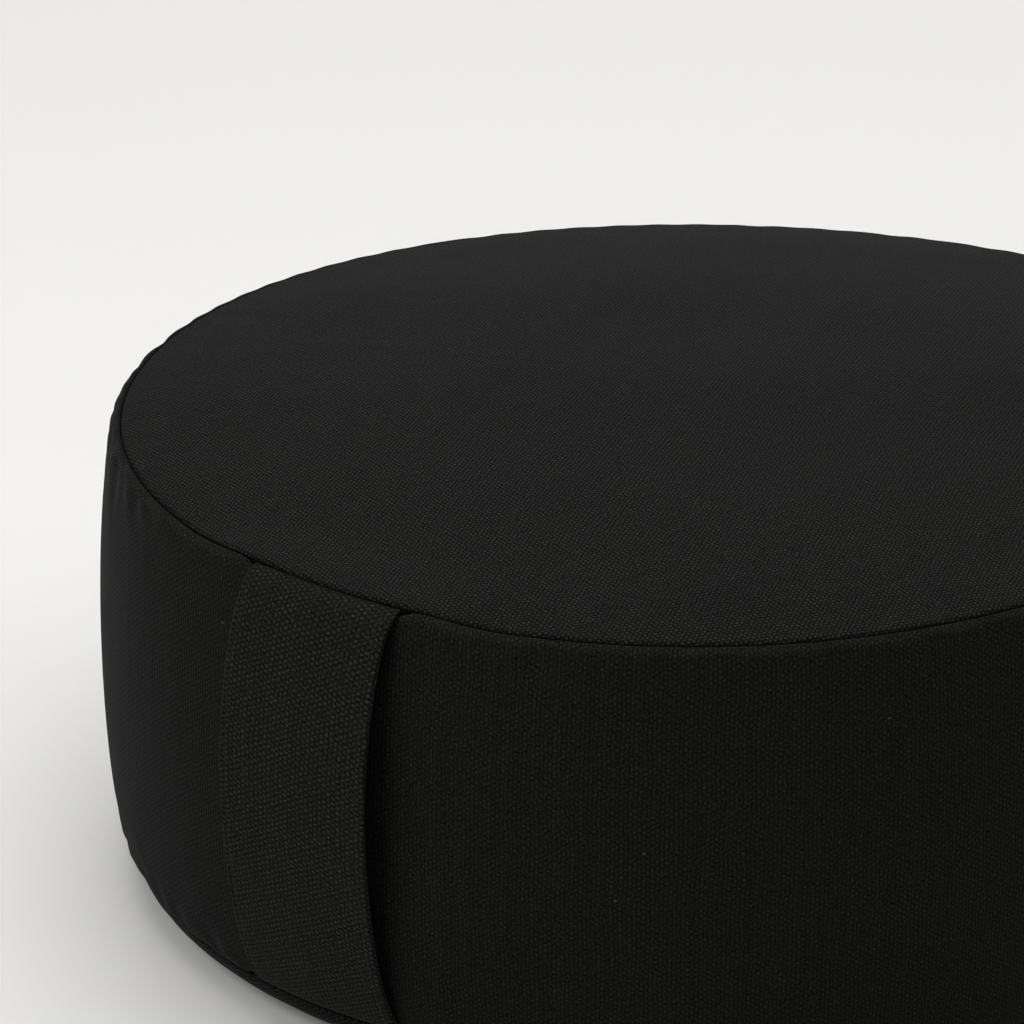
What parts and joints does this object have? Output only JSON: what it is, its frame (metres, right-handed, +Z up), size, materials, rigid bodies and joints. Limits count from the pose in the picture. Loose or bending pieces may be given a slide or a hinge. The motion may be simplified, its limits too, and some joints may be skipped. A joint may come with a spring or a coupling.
{
  "type": "zafu meditation cushion",
  "caption": "Round drum-shaped floor cushion of heavy canvas with crowned panels, a bulging side band and a carrying handle.",
  "frame": {"origin": "middle of the flat patch of the bottom panel that the cushion rests on", "axes": "+Z up through the middle of the drum, -Y out through the middle of the handle"},
  "size_m": [0.3529, 0.3732, 0.1491],
  "materials": {
    "band_canvas": "matt black heavy plain-weave cotton canvas, ribs upright",
    "top_canvas": "matt black heavy plain-weave cotton canvas, soft sheen at grazing angles",
    "bottom_canvas": "matt black heavy plain-weave cotton canvas",
    "handle_canvas": "matt black heavy plain-weave cotton canvas, doubled, edges turned in and topstitched"
  },
  "bodies": {
    "root": {"side_band": "band_canvas", "top_panel": "top_canvas", "bottom_panel": "bottom_canvas", "handle": "handle_canvas"}
  },
  "joints": []
}
